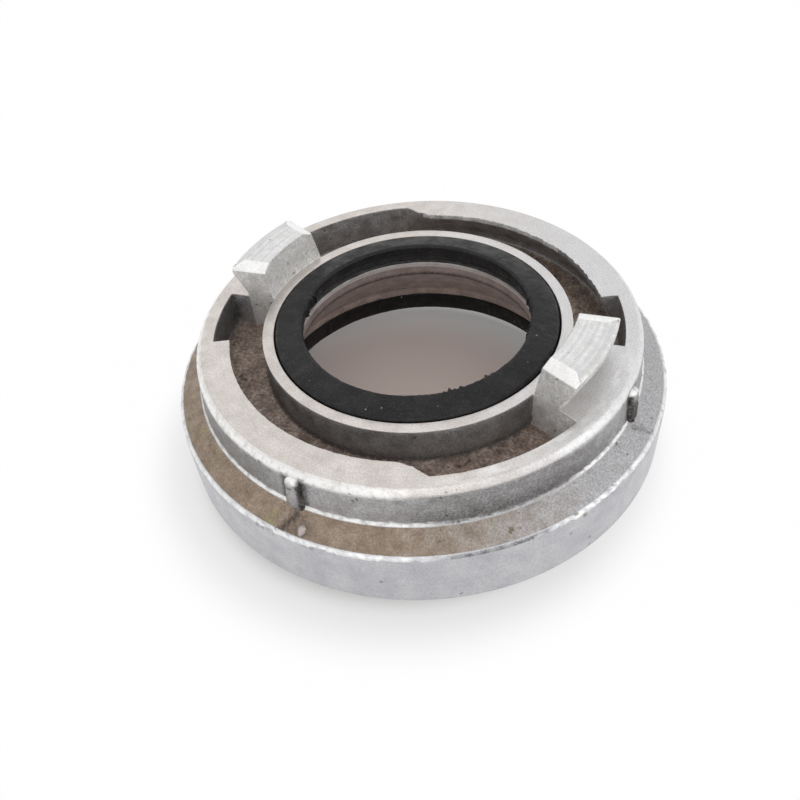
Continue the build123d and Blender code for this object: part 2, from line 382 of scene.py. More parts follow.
class Nodes:
    """A material's node tree, with short ways to add what the finishes need."""

    def __init__(self, name: str) -> None:
        """Starts an empty tree with an output.

        Args:
            name: the material's name.
        """
        self.material = bpy.data.materials.new(name)
        self.material.use_nodes = True
        self.tree = self.material.node_tree
        self.tree.nodes.clear()
        self.output = self.tree.nodes.new("ShaderNodeOutputMaterial")

    def add(self, kind: str, settings: dict | None = None, inputs: dict | None = None) -> bpy.types.Node:
        """Adds a node.

        Args:
            kind: node type.
            settings: attributes to set.
            inputs: sockets by name or number; a socket value is linked, any other is written.

        Returns:
            The node.
        """
        node = self.tree.nodes.new(kind)
        for key, value in (settings or {}).items():
            setattr(node, key, value)
        for key, value in (inputs or {}).items():
            if isinstance(value, bpy.types.NodeSocket):
                self.tree.links.new(value, node.inputs[key])
            else:
                node.inputs[key].default_value = value
        return node

    def place(self) -> Socket:
        """Adds object coordinates.

        Returns:
            Their socket, in millimetres.
        """
        where = self.add("ShaderNodeTexCoord")
        grown = self.add("ShaderNodeVectorMath", {"operation": "SCALE"},
                         {0: where.outputs["Object"], "Scale": 1.0 / MM})
        return grown.outputs[0]

    def moved(self, vector: Socket, offset: object) -> Socket:
        """The vector with an offset added."""
        return self.add("ShaderNodeVectorMath", {"operation": "ADD"}, {0: vector, 1: offset}).outputs[0]

    def reckon(self, operation: str, first: object, second: object = 0.0) -> Socket:
        """One arithmetic step."""
        return self.add("ShaderNodeMath", {"operation": operation}, {0: first, 1: second}).outputs[0]

    def clouds(self, vector: Socket, size: float, detail: float = 4.0, rough: float = 0.55) -> Socket:
        """Soft noise.

        Args:
            vector: where it is read, in millimetres.
            size: size of its features, in millimetres.
            detail: layers of finer noise.
            rough: weight of the finer layers.

        Returns:
            A value around one half.
        """
        made = self.add("ShaderNodeTexNoise", {"noise_dimensions": "3D"},
                        {"Vector": vector, "Scale": 1.0 / size, "Detail": detail, "Roughness": rough})
        return made.outputs["Fac"]

    def spots(self, vector: Socket, size: float) -> Socket:
        """Scattered points.

        Args:
            vector: where they are read, in millimetres.
            size: their spacing, in millimetres.

        Returns:
            Distance to the nearest, in shares of the spacing.
        """
        made = self.add("ShaderNodeTexVoronoi", {"feature": "F1"},
                        {"Vector": vector, "Scale": 1.0 / size, "Randomness": 1.0})
        return made.outputs["Distance"]

    def between(self, value: Socket, low: float, high: float, start: float = 0.0,
                stop: float = 1.0) -> Socket:
        """Maps a range of values onto another, smoothly and within it.

        Args:
            value: what is mapped.
            low: value that gives the start.
            high: value that gives the stop.
            start: result at the low end.
            stop: result at the high end.

        Returns:
            The mapped value.
        """
        made = self.add("ShaderNodeMapRange", {"interpolation_type": "SMOOTHSTEP"},
                        {"Value": value, "From Min": low, "From Max": high, "To Min": start, "To Max": stop})
        return made.outputs[0]

    def blend(self, share: Socket, first: Socket | Colour, second: Socket | Colour) -> Socket:
        """Mixes two colours.

        Args:
            share: how much of the second there is.
            first: a colour or its socket.
            second: a colour or its socket.

        Returns:
            The mixed colour.
        """
        made = self.add("ShaderNodeMix", {"data_type": "RGBA", "blend_type": "MIX"})
        for number, value in ((0, share), (6, first), (7, second)):
            if isinstance(value, tuple):
                made.inputs[number].default_value = (*value, 1.0)
            else:
                self.tree.links.new(value, made.inputs[number])
        return made.outputs[2]

    def bump(self, height: Socket) -> Socket:
        """A shading normal from a height in millimetres."""
        made = self.add("ShaderNodeBump", None, {"Strength": 1.0, "Distance": MM, "Height": height})
        return made.outputs[0]

    def finish(self, shader: bpy.types.Node) -> Material:
        """Joins the shader to the output."""
        self.tree.links.new(shader.outputs[0], self.output.inputs["Surface"])
        return self.material


def dimmed(colour: Colour, share: float) -> Colour:
    """The colour with every channel scaled."""
    return tuple(channel * share for channel in colour)


@dataclass(frozen=True)
class MetalFinish:
    """Aluminium, cast or turned, with its stains, pores and tool marks, and the painted shade and highlights
    that the mesh marks.

    Lengths are in millimetres. Grain, turning and pores each give a size, then a depth or a share.
    """

    name: str
    pale: Colour
    deep: Colour
    stain: Colour
    stain_from: float
    metallic: float
    rough: Pair
    patch_size: float
    grain: Pair
    grain_contrast: float = 0.30
    turning: Pair | None = None
    streaks: float = 0.12
    pores: Pair | None = None
    lit_side_colour: Colour | None = None
    lit_side_span: Pair = (0.0, 45.0)

    def material(self) -> Material:
        """Builds the node tree.

        Returns:
            The material.
        """
        n = Nodes(self.name)
        place = n.place()
        grain = n.clouds(place, self.grain[0], 6.0, 0.62)
        colour = self.shade_dirt_and_highlights(n, place, grain, self.stained(n, place))
        height = n.reckon("MULTIPLY", grain, self.grain[1])
        if self.turning:
            colour, height = self.turned(n, place, colour, height)
        if self.pores:
            colour, height = self.pitted(n, place, colour, height)
        uneven = n.clouds(place, self.patch_size * 0.6)
        return n.finish(n.add("ShaderNodeBsdfPrincipled", None, {
            "Base Color": colour, "Metallic": self.metallic, "Normal": n.bump(height),
            "Roughness": n.between(uneven, 0.3, 0.7, *self.rough)}))

    def stained(self, n: Nodes, place: Socket) -> Socket:
        """Colour of the bare metal: patches and stains and, on some, painted light: a greyer colour on the
        side towards +X+Y, where the light falls.

        Args:
            n: the tree.
            place: object coordinates.

        Returns:
            The colour.
        """
        patches = n.clouds(place, self.patch_size, 5.0, 0.6)
        colour = n.blend(n.between(patches, 0.32, 0.68), self.deep, self.pale)
        stains = n.clouds(n.moved(place, STAIN_OFFSET), self.patch_size * 2.3, 6.0, 0.65)
        colour = n.blend(n.between(stains, self.stain_from, self.stain_from + 0.16), colour, self.stain)
        # Painted light: towards +X+Y the colour turns to the lit side's greyer colour.
        if self.lit_side_colour:
            split = n.add("ShaderNodeSeparateXYZ", None, {0: place})
            side = n.reckon("ADD", n.reckon("MULTIPLY", split.outputs[0], LIT_SIDE_DIRECTION[0]),
                            n.reckon("MULTIPLY", split.outputs[1], LIT_SIDE_DIRECTION[1]))
            side = n.reckon("ADD", side, n.between(patches, 0.3, 0.7, -7.0, 7.0))
            colour = n.blend(n.between(side, *self.lit_side_span), colour, self.lit_side_colour)
        return colour

    def shade_dirt_and_highlights(self, n: Nodes, place: Socket, grain: Socket, colour: Socket) -> Socket:
        """Darkens the grain, then lays on the painted shade and dirt, and the rubbed metal and painted
        highlights, that the mesh marks.

        Args:
            n: the tree.
            place: object coordinates.
            grain: the fine noise.
            colour: colour so far.

        Returns:
            The new colour.
        """
        darker = n.between(grain, 0.36, 0.64, 0.0, self.grain_contrast)
        colour = n.blend(darker, colour, dimmed(self.deep, 0.40))
        shade_and_dirt, worn = (n.add("ShaderNodeAttribute", {"attribute_name": name}).outputs["Fac"]
                       for name in ("shade_and_dirt", "worn"))
        # Painted shade, with some dirt, from the mesh's layer, varied by the grain.
        darkened = n.reckon("MULTIPLY", shade_and_dirt, n.between(grain, 0.30, 0.62, 0.72, 1.12))
        colour = n.blend(darkened, colour, SHADE_AND_DIRT_COLOUR)
        # Rubbed metal and painted highlights from the mesh's layer, in patches.
        patchy = n.between(n.clouds(place, 1.5), 0.32, 0.56, 0.40, 1.0)
        return n.blend(n.reckon("MULTIPLY", worn, patchy), colour, RUBBED_AND_HIGHLIGHT_COLOUR)

    def turned(self, n: Nodes, place: Socket, colour: Socket, height: Socket) -> tuple[Socket, Socket]:
        """Adds the rings that a lathe leaves, worn away in places.

        Args:
            n: the tree.
            place: object coordinates.
            colour: colour so far.
            height: relief so far.

        Returns:
            The new colour and relief.
        """
        pitch, depth = self.turning
        split = n.add("ShaderNodeSeparateXYZ", None, {0: place})
        across, along, up = split.outputs
        radius = n.reckon("SQRT", n.reckon("ADD", n.reckon("MULTIPLY", across, across),
                                           n.reckon("MULTIPLY", along, along)))
        run = n.reckon("ADD", radius, up)
        rings = n.add("ShaderNodeTexNoise", {"noise_dimensions": "1D"},
                      {"W": run, "Scale": 1.0 / pitch, "Detail": 3.0, "Roughness": 0.7})
        left = n.between(n.clouds(place, 9.0, 3.0), 0.35, 0.62, 0.25, 1.0)
        marks = n.reckon("MULTIPLY", n.reckon("MULTIPLY", rings.outputs["Fac"], left), depth)
        streak = n.between(rings.outputs["Fac"], 0.43, 0.57, 0.0, self.streaks)
        return n.blend(streak, colour, dimmed(self.deep, 0.72)), n.reckon("ADD", height, marks)

    def pitted(self, n: Nodes, place: Socket, colour: Socket, height: Socket) -> tuple[Socket, Socket]:
        """Adds ragged pores in scattered groups.

        Args:
            n: the tree.
            place: object coordinates.
            colour: colour so far.
            height: relief so far.

        Returns:
            The new colour and relief.
        """
        size, share = self.pores
        wander = n.add("ShaderNodeTexNoise", {"noise_dimensions": "3D"},
                       {"Vector": place, "Scale": 1.4, "Detail": 2.0})
        wander = n.add("ShaderNodeVectorMath", {"operation": "SCALE"},
                       {0: wander.outputs["Color"], "Scale": 1.1})
        holes = n.spots(n.moved(place, wander.outputs[0]), size)
        reach = n.between(n.clouds(place, size * 2.2, 2.0), 0.50, 0.68, 0.0, share)
        pore = n.between(n.reckon("SUBTRACT", holes, reach), -0.06, 0.04, 0.75, 0.0)
        red, green, blue = self.stain
        dark = (red * 0.5, green * 0.48, blue * 0.45)
        depth = n.reckon("MULTIPLY", pore, self.grain[1] * 1.4)
        return n.blend(pore, colour, dark), n.reckon("SUBTRACT", height, depth)


@dataclass(frozen=True)
class RubberFinish:
    """Black moulded rubber, handled and a little dusty. Lengths in millimetres."""

    name: str
    dark: Colour
    dusty: Colour
    grit: Colour
    rough: Pair
    speck_size: float
    speck: Colour = (0.36, 0.34, 0.31)
    gloss: float = 0.24

    def material(self) -> Material:
        """Builds the node tree.

        Returns:
            The material.
        """
        n = Nodes(self.name)
        place = n.place()
        dust = n.clouds(place, 7.0, 6.0, 0.65)
        colour = n.blend(n.between(dust, 0.42, 0.72), self.dark, self.dusty)
        few = n.between(n.clouds(place, 5.0, 2.0), 0.56, 0.62)
        specks = n.between(n.spots(place, self.speck_size), 0.05, 0.11, 1.0, 0.0)
        colour = n.blend(n.reckon("MULTIPLY", specks, few), colour, self.speck)
        fine = n.clouds(place, 0.35, 4.0, 0.6)
        colour = n.blend(n.between(fine, 0.52, 0.70, 0.0, 0.55), colour, self.grit)
        broad = n.clouds(place, 3.2, 3.0, 0.5)
        height = n.reckon("ADD", n.reckon("MULTIPLY", fine, 0.05), n.reckon("MULTIPLY", broad, 0.35))
        return n.finish(n.add("ShaderNodeBsdfPrincipled", None, {
            "Base Color": colour, "Specular IOR Level": self.gloss, "Normal": n.bump(height),
            "Roughness": n.between(n.clouds(place, 4.0), 0.35, 0.65, *self.rough)}))


METALS: dict[Finish, MetalFinish] = {
    Finish.TURNED: MetalFinish(
        "turned_face", pale=(0.76, 0.715, 0.685), deep=(0.64, 0.595, 0.565), stain=(0.52, 0.48, 0.33),
        stain_from=0.64, metallic=1.0, rough=(0.36, 0.52), patch_size=6.0, grain=(0.45, 0.045),
        turning=(0.7, 0.060), pores=(3.4, 0.10), lit_side_colour=(0.69, 0.69, 0.70), lit_side_span=(-10.0, 60.0)),
    Finish.BRIGHT: MetalFinish(
        "bright_worn_edge", pale=(0.87, 0.87, 0.875), deep=(0.72, 0.715, 0.71), stain=(0.60, 0.57, 0.40),
        stain_from=0.60, metallic=0.9, rough=(0.26, 0.44), patch_size=2.5, grain=(0.55, 0.09),
        grain_contrast=0.22, turning=(1.0, 0.16), streaks=0.50, pores=(2.6, 0.12)),
    Finish.CAST: MetalFinish(
        "grey_casting", pale=(0.56, 0.555, 0.56), deep=(0.42, 0.41, 0.41), stain=(0.33, 0.29, 0.26),
        stain_from=0.60, metallic=0.7, rough=(0.36, 0.58), patch_size=3.5, grain=(0.6, 0.16),
        grain_contrast=0.42, pores=(2.6, 0.24)),
    Finish.EARTHY: MetalFinish(
        "brown_casting", pale=(0.56, 0.45, 0.385), deep=(0.32, 0.235, 0.19), stain=(0.20, 0.14, 0.10),
        stain_from=0.55, metallic=0.45, rough=(0.42, 0.66), patch_size=3.6, grain=(0.95, 0.34),
        grain_contrast=0.72, pores=(2.4, 0.36)),
    Finish.SKIRT: MetalFinish(
        "turned_skirt", pale=(0.63, 0.63, 0.65), deep=(0.535, 0.535, 0.565), stain=(0.47, 0.45, 0.42),
        stain_from=0.66, metallic=1.0, rough=(0.30, 0.46), patch_size=8.0, grain=(0.5, 0.05),
        turning=(0.9, 0.03), pores=(4.0, 0.16)),
    Finish.BORE: MetalFinish(
        "bore_wall", pale=(0.60, 0.525, 0.50), deep=(0.42, 0.355, 0.33), stain=(0.30, 0.235, 0.20),
        stain_from=0.60, metallic=0.7, rough=(0.34, 0.55), patch_size=5.0, grain=(0.6, 0.10),
        turning=(1.1, 0.03), pores=(2.6, 0.25)),
    Finish.SHOULDER: MetalFinish(
        "sand_cast_shoulder", pale=(0.42, 0.33, 0.255), deep=(0.295, 0.225, 0.17), stain=(0.40, 0.35, 0.19),
        stain_from=0.53, metallic=0.55, rough=(0.40, 0.62), patch_size=4.0, grain=(0.55, 0.22),
        grain_contrast=0.42, pores=(2.3, 0.26), lit_side_colour=(0.53, 0.53, 0.55), lit_side_span=(-14.0, 50.0)),
    Finish.HOOK: MetalFinish(
        "pale_lug_casting", pale=(0.92, 0.91, 0.90), deep=(0.70, 0.68, 0.65), stain=(0.58, 0.53, 0.42),
        stain_from=0.60, metallic=0.35, rough=(0.40, 0.60), patch_size=3.0, grain=(0.6, 0.30),
        grain_contrast=0.40, pores=(2.4, 0.24)),
    # Near-white metal standing in for highlights: the bore seat's inner edge on the far half, and the lugs'
    # chamfered ends.
    Finish.LEDGE: MetalFinish(
        "painted_highlight_edge", pale=(0.99, 0.99, 0.99), deep=(0.90, 0.89, 0.88), stain=(0.62, 0.58, 0.55),
        stain_from=0.68, metallic=1.0, rough=(0.30, 0.48), patch_size=4.0, grain=(0.5, 0.10),
        grain_contrast=0.20, turning=(0.9, 0.02), pores=(2.2, 0.14)),
}

SMALL_RUBBER = RubberFinish(
    "small_seal_black", dark=(0.008, 0.008, 0.009), dusty=(0.022, 0.021, 0.022), grit=(0.075, 0.073, 0.074),
    rough=(0.30, 0.54), speck_size=2.6)
LARGE_RUBBER = RubberFinish(
    "large_seal_black", dark=(0.005, 0.005, 0.005), dusty=(0.010, 0.0095, 0.009), grit=(0.020, 0.019, 0.018),
    rough=(0.50, 0.66), speck_size=3.0)


# The casting


@dataclass
class CouplingFace:
    """One end's channel, lugs and openings, in section.

    The way is +1 for a face that looks up and -1 for one that looks down, and depth runs from the face
    into the casting. The lines of a lug's ends are points of its side view: run out of the lug, and height
    above the face.
    """

    name: str
    face: float
    way: int
    collar: float
    channel: float
    reach: float
    depth: float = 11.0
    undercut: float = 8.6
    overhang: float = 4.7
    land: float = 1.6
    inner_fillet: float = 1.0
    outer_fillet: float = 1.5
    window_slant: float = 4.0
    end_ease: float = 1.3
    lead_line: tuple[Point, ...] = ((0.0, 0.0), (-1.4, LUG_TOP - 1.5), (-4.6, LUG_TOP))
    tail_line: tuple[Point, ...] = ((0.0, LUG_TOP - 1.1), (-3.8, LUG_TOP))
    lug_spare: float = 0.06
    lug_steps: int = 28
    wall_cuts: int = 7
    floor_cuts: int = 8
    slope_cuts: int = 6
    top_cuts: int = 3

    def at(self, radius: float, depth: float) -> Point:
        """A section point from a radius and a depth below the face."""
        return (radius, self.face - self.way * depth)

    def channel_path(self, sector: Sector) -> list[Point]:
        """The section from the collar's edge to the channel's outer radius.

        Args:
            sector: what the face is at that angle.

        Returns:
            The points; every sector has as many, so that they bridge one to one.
        """
        collar, channel = self.collar, self.channel
        inner, outer = self.inner_fillet, self.outer_fillet
        path = [(collar, 0.0)]
        path += shared(path[-1], (collar, self.depth - inner), self.wall_cuts)
        path += arc((collar + inner, self.depth - inner), inner, 180, 90, 3)[1:]
        path += shared(path[-1], (channel - outer, self.depth), self.floor_cuts)
        path += arc((channel - outer, self.depth - outer), outer, 90, 0, 4)[1:]
        path += shared(path[-1], (channel, self.undercut), 1)
        rest = self.slope_cuts + 1 + self.top_cuts
        if sector is Sector.RIM:
            lip = channel - self.overhang
            path += shared(path[-1], (lip, self.land), self.slope_cuts)
            path += shared(path[-1], (lip, 0.0), 1)
            path += shared(path[-1], (channel, 0.0), self.top_cuts)
        else:
            path += shared(path[-1], (channel, 0.0), rest)
        if sector is Sector.FILLED:
            steps = [math.dist(a, b) for a, b in zip(path, path[1:])]
            run, flat = 0.0, [(collar, 0.0)]
            for step in steps:
                run += step
                flat.append((collar + (channel - collar) * run / sum(steps), 0.0))
            path = flat
        return [self.at(radius, depth) for radius, depth in path]

    def slant(self, rim: BMesh) -> None:
        """Pulls the rim's end back toward its lip, where the window is cut at a slant.

        Args:
            rim: the skin of the rim's sector.
        """
        for vert in rim.verts:
            inset = (self.channel - radius_of(vert.co)) / self.overhang
            depth = abs(self.face - vert.co.z)
            if inset < 0.01 or inset > 1.01 or depth > self.undercut:
                continue
            local = (self.way * bearing_of(vert.co)) % 360.0
            pull = self.window_slant * inset * ramp(local, RIM_STOP - 30.0, RIM_STOP)
            vert.co = turned_by(vert.co, -self.way * pull)
            eased = self.end_ease * inset * ramp(local, RIM_STOP - 6.0, RIM_STOP) ** 2
            vert.co.xy *= 1.0 + eased / radius_of(vert.co)

    def half(self) -> BMesh:
        """Half a turn of the channel, from one lug to the next.

        Returns:
            The skin, open between sectors.
        """
        bm = bmesh.new()
        for sector, start, stop in SECTOR_ENDS:
            part = swept(self.channel_path(sector), self.way * start, self.way * (stop - start))
            if sector is Sector.RIM:
                self.slant(part)
            join(bm, part)
        return bm

    def lug_section(self) -> list[Point]:
        """Section of a lug, sunk in the channel's filled sector.

        Returns:
            The points of the closed section.
        """
        collar = self.collar
        stem, lip = collar + self.reach - 3.4, collar + self.reach
        outline = [
            (collar - 0.6, self.depth + 0.2), (stem, self.depth + 0.2), (stem, -1.4), (lip, -7.6),
            (lip, -9.6), (lip - 2.6, -LUG_TOP), (collar + 1.2, -LUG_TOP), (collar + 0.02, 0.0),
            (collar - 0.6, 0.4),
        ]
        return [self.at(radius, depth) for radius, depth in outline]

    def end_cut(self, bm: BMesh, degrees: float, outward: int, start: Point, stop: Point) -> None:
        """Cuts a lug's end along a plane that holds two points of the end's side view.

        Args:
            bm: mesh of one lug.
            degrees: angle of the end.
            outward: +1 or -1, the turning direction that leaves the lug.
            start: first point, run out of the lug and height above the face.
            stop: second point.
        """
        side = turned_by(Vector((0.0, 1.0, 0.0)), degrees) * outward
        up = Vector((0.0, 0.0, self.way))
        level = Vector((0.0, 0.0, self.face))
        first = level + side * start[0] + up * start[1]
        along = side * (stop[0] - start[0]) + up * (stop[1] - start[1])
        normal = along.cross(turned_by(Vector((1.0, 0.0, 0.0)), degrees)).normalized()
        if normal.dot(side + up) < 0.0:
            normal.negate()
        bmesh.ops.bisect_plane(
            bm, geom=list(bm.verts) + list(bm.edges) + list(bm.faces), dist=1e-5, plane_co=first,
            plane_no=normal, clear_outer=True)
        close_holes(bm)

    def lug(self, side: float) -> BMesh:
        """One hooked lug: a turned section with a leaning, chamfered leading end and an eased tail.

        Args:
            side: angle of its middle.

        Returns:
            The lug, in a mesh of its own.
        """
        bm = bmesh.new()
        half = LUG_HALF_DEG + self.lug_spare
        spin(bm, wire(bm, self.lug_section(), side - half, closed=True), 2 * half, self.lug_steps)
        close_holes(bm)
        for outward, line in ((-self.way, self.lead_line), (self.way, self.tail_line)):
            for start, stop in zip(line, line[1:]):
                self.end_cut(bm, side + outward * LUG_HALF_DEG, outward, start, stop)
        bmesh.ops.recalc_face_normals(bm, faces=bm.faces)
        return bm


@dataclass
class Casting:
    """The one-piece aluminium body: ring, shoulder, skirt, bore and both coupling faces.

    The materials are the metal finishes in the order of the enum. A point is a radius and a height, a
    dented stretch is its first and last angle and a depth, a nick is a radius, an angle and a size, and a
    lump is a radius, an angle and its three half sizes.
    """

    materials: Sequence[Material]
    small: CouplingFace = field(default_factory=lambda: CouplingFace(
        "small", face=44.5, way=1, collar=44.5, channel=58.6, reach=11.9))
    large: CouplingFace = field(default_factory=lambda: CouplingFace(
        "large", face=10.5, way=-1, collar=54.8, channel=68.0, reach=11.1, wall_cuts=5, floor_cuts=6,
        slope_cuts=4, top_cuts=2))
    ring_edge: Point = (62.2, 44.5)
    ring_side: Point = (63.6, 43.0)
    ring_foot: Point = (64.4, 33.3)
    ring_fillet: float = 1.5
    shoulder_foot: Point = (71.4, 29.1)
    skirt_radius: float = 72.0
    edge_round: float = 0.28
    rib_first: float = 3.0
    rib_size: Triple = (6.0, 6.9, 11.2)
    rib_middle: Point = (62.9, 37.0)
    # Height on each rib below which it is painted dark as shade.
    shaded_below: tuple[float, ...] = (40.0, 34.5, 36.0, 30.0)
    dented: tuple[Triple, ...] = (
        (-178.0, -100.0, 0.35), (-96.0, -58.0, 1.0), (-34.0, -8.0, 1.1), (-8.0, 170.0, 0.3))
    nicks: tuple[Triple, ...] = (
        (59.9, -83.2, 1.3), (58.6, -76.8, 1.6), (58.0, -74.0, 1.5), (62.3, -63.1, 1.4), (59.1, -47.7, 1.3),
        (61.6, -68.0, 1.2), (60.5, 18.0, 1.3), (58.0, 77.0, 1.2))
    lumps: tuple[tuple[float, ...], ...] = (
        (69.3, -83.4, 1.6, 1.1, 0.95), (68.6, -89.2, 2.9, 0.42, 0.50), (69.2, 2.6, 2.6, 0.40, 0.42),
        (69.0, 92.8, 2.4, 0.40, 0.38), (68.9, 181.5, 2.2, 0.38, 0.36))

    def barrel_path(self) -> list[Point]:
        """Outside of the casting, from the ring's top to the skirt's foot.

        Returns:
            The section points, with a row of points beside the fillet on either side.
        """
        side, foot, low = self.ring_side, self.ring_foot, self.shoulder_foot
        fall = math.atan2(low[1] - foot[1], low[0] - foot[0])
        lean = math.atan2(foot[1] - side[1], foot[0] - side[0])
        turn = (fall - lean) / 2.0
        beside = 0.35
        cut = self.ring_fillet * math.tan(turn)
        start = (foot[0] - cut * math.cos(lean), foot[1] - cut * math.sin(lean))
        centre = (start[0] - self.ring_fillet * math.sin(lean), start[1] + self.ring_fillet * math.cos(lean))
        first = math.degrees(lean) - 90.0
        bend = arc(centre, self.ring_fillet, first, first + math.degrees(2 * turn), 4)
        above = (bend[0][0] - beside * math.cos(lean), bend[0][1] - beside * math.sin(lean))
        below = (bend[-1][0] + beside * math.cos(fall), bend[-1][1] + beside * math.sin(fall))
        return spaced([
            (self.small.channel, self.small.face), self.ring_edge, side, above, *bend, below, (70.9, 29.4),
            low, (self.skirt_radius, 28.5), (self.skirt_radius, 27.9), (self.skirt_radius, 11.3),
            (71.2, 10.5), (self.large.channel, self.large.face)], 1.35)

    def bore_path(self) -> list[Point]:
        """Collar tops, seal seats and the waterway between them."""
        return spaced([(44.5, 44.5), (41.2, 44.5), (41.2, 38.5), (35.2, 38.5), (35.2, 33.7), (36.6, 33.1),
                       (46.0, 20.0), (46.0, 17.0), (51.5, 17.0), (51.5, 10.5), (54.8, 10.5)], 1.7)

    def finish_of(self, face: bmesh.types.BMFace) -> Finish:
        """Which finish a face has, from where it lies and the way it looks.

        Args:
            face: a face of the body, in millimetres.

        Returns:
            Its finish.
        """
        centre = face.calc_center_median()
        radius, z, up, bearing = radius_of(centre), centre.z, face.normal.z, bearing_of(centre)
        if radius > 62.0 and z > 42.7:
            return Finish.TURNED
        if 58.2 < radius < 58.9 and near_angle(bearing, 125.3) < 0.4 and z > 35.0:
            return Finish.BRIGHT
        if z > 44.2 or z < 10.8:
            return Finish.TURNED
        if 44.8 < radius < 58.4 and z > 33.2 and abs(up) < 0.5 and near_lug(bearing, -LUG_HALF_DEG) < 0.5:
            return Finish.HOOK
        if 52.6 < radius < 54.8 and z > 42.4 and 66.0 < bearing < 126.0:
            return Finish.HOOK
        if radius > 71.0:
            return Finish.SKIRT
        if radius > 63.0 and z > 33.0:
            return Finish.CAST
        if radius > 63.9:
            return Finish.SHOULDER if z > 22.0 else Finish.CAST
        # Painted highlight: the seat's inner edge, on the far half only.
        if radius < 36.3 and 37.1 < z < 38.7 and near_angle(bearing, 124.0) < 100.0:
            return Finish.LEDGE
        if radius < 41.4 or (radius < 46.4 and z < 33.2) or (radius < 51.7 and z < 17.2):
            return Finish.BORE
        return Finish.EARTHY if abs(up) > 0.6 and z > 20.5 else Finish.CAST

    def roughen(self, bm: BMesh) -> None:
        """Moves the skin as sand casting, wear and tools leave it.

        Args:
            bm: the body, with its finishes already told apart.
        """
        bm.normal_update()
        for vert in bm.verts:
            place = vert.co.copy()
            kinds = {Finish(face.material_index) for face in vert.link_faces}
            push = 0.0
            if kinds <= {Finish.CAST, Finish.EARTHY, Finish.SHOULDER}:
                push += 0.10 * noise.noise(place * 0.35)
                push += 0.07 * noise.noise(place * 0.95 + Vector((7.0, 3.0, 1.0)))
            if Finish.EARTHY in kinds:
                push += 0.12 * noise.noise(place * 0.8 + Vector((40.0, 0.0, 0.0)))
            push += self.damage(place, bearing_of(place), radius_of(place))
            vert.co += vert.normal * push
            self.burr(vert, place)

    def seam_at(self, radius: float) -> float:
        """Angle of the mould's parting line where it crosses the shoulder."""
        return -85.8 - 2.6 * (radius - 66.0) / 5.4

    def damage(self, place: Vector, bearing: float, radius: float) -> float:
        """How far wear and flaws push the skin out at a point; negative is inward.

        Args:
            place: the point.
            bearing: its angle about the bore.
            radius: its distance from the axis.

        Returns:
            The push in millimetres.
        """
        push = 0.0
        if radius > 70.6 and 26.6 < place.z < 29.6:
            for first, last, depth in self.dented:
                within = over(bearing, first, last, 2.0)
                torn = abs(noise.noise(place * 0.55)) + 0.4 * max(0.0, noise.noise(place * 1.3))
                push -= depth * within * torn
            push -= 0.05 + 0.06 * noise.noise(place * 0.5)
        if 66.0 < radius < 71.4 and 28.8 < place.z < 33.6:
            seam = self.seam_at(radius)
            push -= 0.55 * fade(near_angle(bearing, seam), 0.0, 0.95)
            push += 0.40 * fade(near_angle(bearing, seam - 1.7), 0.0, 1.5)
            push += 0.35 * fade(near_angle(bearing, 0.4 + 0.55 * (radius - 66.0)), 0.0, 1.1)
        if place.z > 44.3:
            for spot, angle, size in self.nicks:
                reach = math.hypot(radius - spot, math.radians(bearing - angle) * radius)
                push -= 0.32 * fade(reach, 0.2, size)
        return push

    def burr(self, vert: bmesh.types.BMVert, place: Vector) -> None:
        """Leaves the torn burr along the back rim's inner edge.

        Args:
            vert: a vertex of the body.
            place: where it was before it was roughened.
        """
        radius, bearing = radius_of(place), bearing_of(place)
        lip = self.small.channel - self.small.overhang
        if abs(radius - lip) > 0.5 or place.z < 42.7:
            return
        torn = ramp(bearing, 34.0, 44.0) * fade(bearing, 119.0, 123.0)
        worn = 1.0 if -160.0 < bearing < -50.0 else 0.0
        jag = abs(noise.noise(Vector((bearing * 0.62, 3.0, 1.0))))
        jag += 0.7 * abs(noise.noise(Vector((bearing * 1.7, 9.0, 4.0))))
        vert.co.xy *= 1.0 - (torn * (0.1 + 0.75 * jag) + worn * 0.22 * jag) / radius
        if place.z > 44.2:
            vert.co.z -= torn * 0.35 * jag

    def shade_and_dirt(self, place: Vector, bearing: float, radius: float) -> float:
        """How dark a point is painted: painted shade and a painted dark reflection, with dirt and dark
        lines.

        Args:
            place: the point.
            bearing: its angle about the bore.
            radius: its distance from the axis.

        Returns:
            A share from 0 to 1.
        """
        z = place.z
        darkening = self.channel_shade_and_dirt(place, bearing, radius)
        if 63.0 < radius < 65.2 and 33.4 < z < 43.2:
            # Painted shade around the foot of each wrench rib.
            reach = min(near_angle(bearing, angle) for angle in self.rib_angles())
            darkening = max(darkening, 0.75 * fade(reach, 2.6, 4.2))
            # A darker stretch on the left of the ring's side.
            darkening = max(darkening, 0.30 * ramp(bearing, -176.0, -158.0) * fade(bearing, -98.0, -88.0))
            # Painted dark reflection on the right of the ring's side, darker towards the bottom.
            lower = 0.30 + 0.26 * fade(z, 34.5, 39.5)
            darkening = max(darkening, lower * ramp(bearing, -70.0, -46.0) * fade(bearing, -24.0, -4.0))
        if 66.0 < radius < 71.3 and 28.8 < z < 33.6:
            # Dark lines along the shoulder's parting seam and ridge, and a darker spot at the blob.
            darkening = max(darkening, 0.80 * fade(near_angle(bearing, self.seam_at(radius)), 0.3, 1.1))
            blob = math.hypot((bearing + 84.5) * 1.22, radius - 68.5)
            darkening = max(darkening, 0.35 * fade(blob, 1.0, 4.5))
            darkening = max(darkening, 0.35 * fade(near_angle(bearing, 0.55 * (radius - 66.0)), 0.2, 1.2))
        if radius > 70.9 and 28.6 < z < 29.6:
